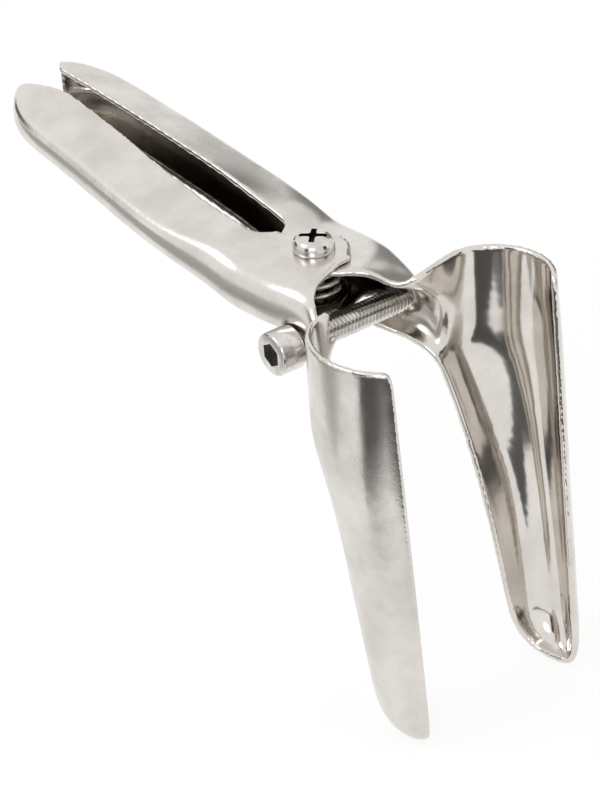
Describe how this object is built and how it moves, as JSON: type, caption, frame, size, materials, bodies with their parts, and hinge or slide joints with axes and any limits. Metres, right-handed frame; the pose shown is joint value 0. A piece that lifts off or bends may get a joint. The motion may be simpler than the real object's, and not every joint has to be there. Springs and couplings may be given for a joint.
{
  "type": "bivalve speculum",
  "caption": "Two-blade speculum of pressed steel sheet: channel handles, long trough blades hinged on a screw, with an inner coil spring and a side screw that sets the opening.",
  "frame": {"origin": "centre of the pivot screw's lower end face", "axes": "+Z along the pivot screw towards its head, +Y along the handles away from the blades, left half on -X"},
  "size_m": [0.0628, 0.1544, 0.113],
  "materials": {
    "sheet": "polished",
    "screws": "bright",
    "spring_wire": "satin"
  },
  "bodies": {
    "left": {"left_half": "sheet", "pivot_screw": "screws", "pivot_nut": "screws", "torsion_spring": "spring_wire"},
    "right": {"right_half": "sheet"},
    "side_screw": {"adjusting_screw": "screws"}
  },
  "joints": [
    {"name": "blade_pivot", "type": "hinge", "parent": "left", "child": "right", "pos_m": [0, 0, 0], "axis": [0, 0, -1], "range_deg": [-0.4, 41], "deforming": ["torsion_spring"]},
    {"name": "adjusting_travel", "type": "slide", "parent": "left", "child": "side_screw", "axis": [-0.9945, 0.1045, 0], "range_m": [-0.0002, 0.018]}
  ],
  "couplings": [
    {"joint": "adjusting_travel", "follows": "blade_pivot", "m_per_rad": 0.024}
  ]
}
